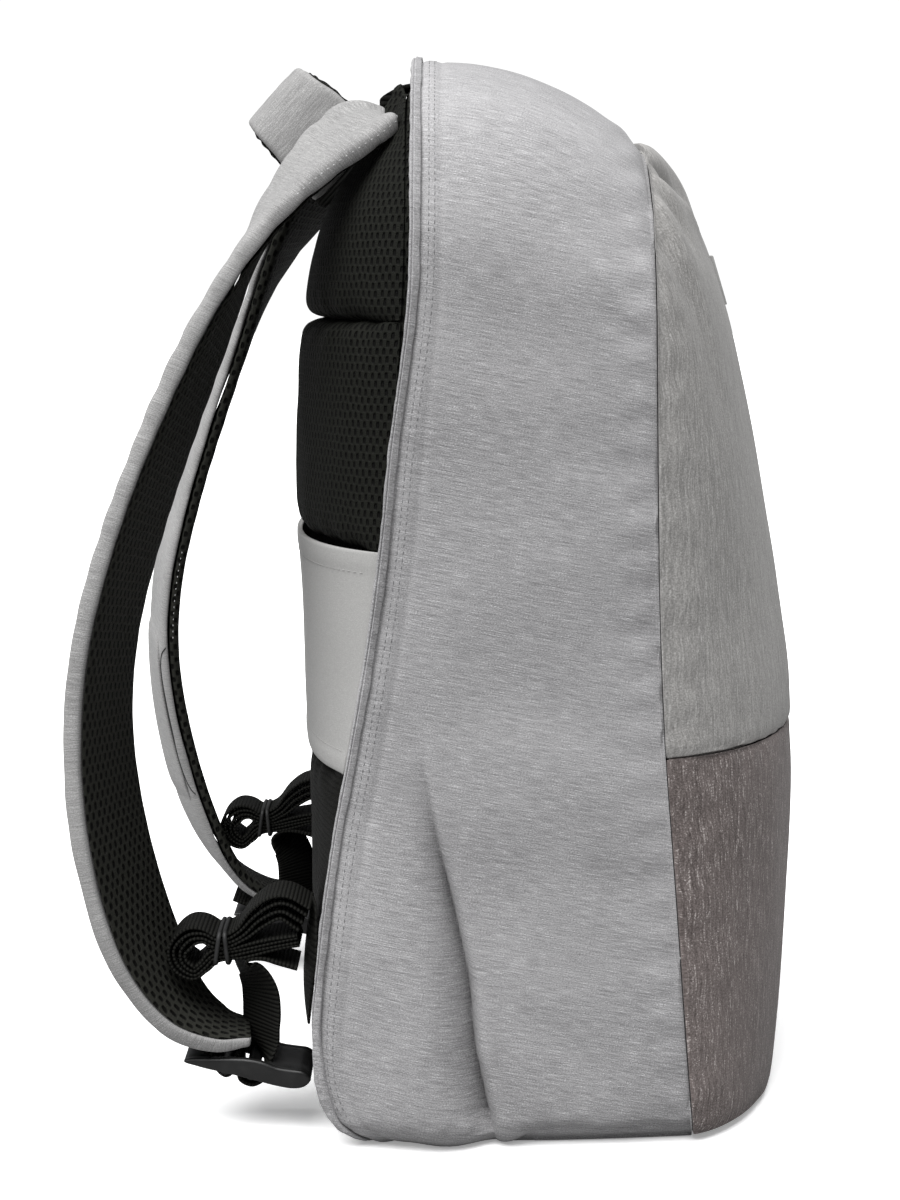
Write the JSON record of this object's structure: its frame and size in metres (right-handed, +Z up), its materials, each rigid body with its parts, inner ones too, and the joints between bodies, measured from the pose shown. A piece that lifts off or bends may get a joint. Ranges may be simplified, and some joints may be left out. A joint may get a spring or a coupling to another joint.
{
  "type": "anti theft backpack",
  "caption": "Padded city backpack with a hidden back opening, mesh back pads, luggage strap, curved shoulder straps with ladder adjusters and a grab handle.",
  "frame": {"origin": "middle of the flat base that the bag stands on", "axes": "+Z up, -Y towards the front panel, +Y towards the wearer's back, +X towards the wearer's right"},
  "size_m": [0.3206, 0.316, 0.4564],
  "materials": {
    "grey_cloth": "matt heather weave",
    "brown_cloth": "matt heather weave",
    "black_mesh": "open spacer mesh",
    "black_webbing": "ribbed webbing",
    "black_plastic": "satin moulded",
    "black_rubber": "smooth"
  },
  "bodies": {
    "root": {"side_band": "grey_cloth", "front_upper": "grey_cloth", "front_lower": "brown_cloth", "front_plate": "grey_cloth", "base_panel": "brown_cloth", "edge_piping": "grey_cloth", "zip_band": "black_webbing", "zip_flap": "black_webbing", "back_board": "black_mesh", "back_lower": "black_webbing", "luggage_strap": "grey_cloth", "back_pad_lower": "black_mesh", "back_pad_upper": "black_mesh", "grab_handle": "grey_cloth", "grab_handle_lining": "black_webbing", "strap_pocket": "grey_cloth", "strap_cover_left": "grey_cloth", "strap_mesh_left": "black_mesh", "adjuster_left": "black_plastic", "adjuster_tab_left": "black_webbing", "webbing_left": "black_webbing", "webbing_roll_left": "black_webbing", "webbing_tie_left": "black_rubber", "webbing_wing_left": "black_webbing", "strap_cover_right": "grey_cloth", "strap_mesh_right": "black_mesh", "adjuster_right": "black_plastic", "adjuster_tab_right": "black_webbing", "webbing_right": "black_webbing", "webbing_roll_right": "black_webbing", "webbing_tie_right": "black_rubber", "webbing_wing_right": "black_webbing"}
  },
  "joints": []
}
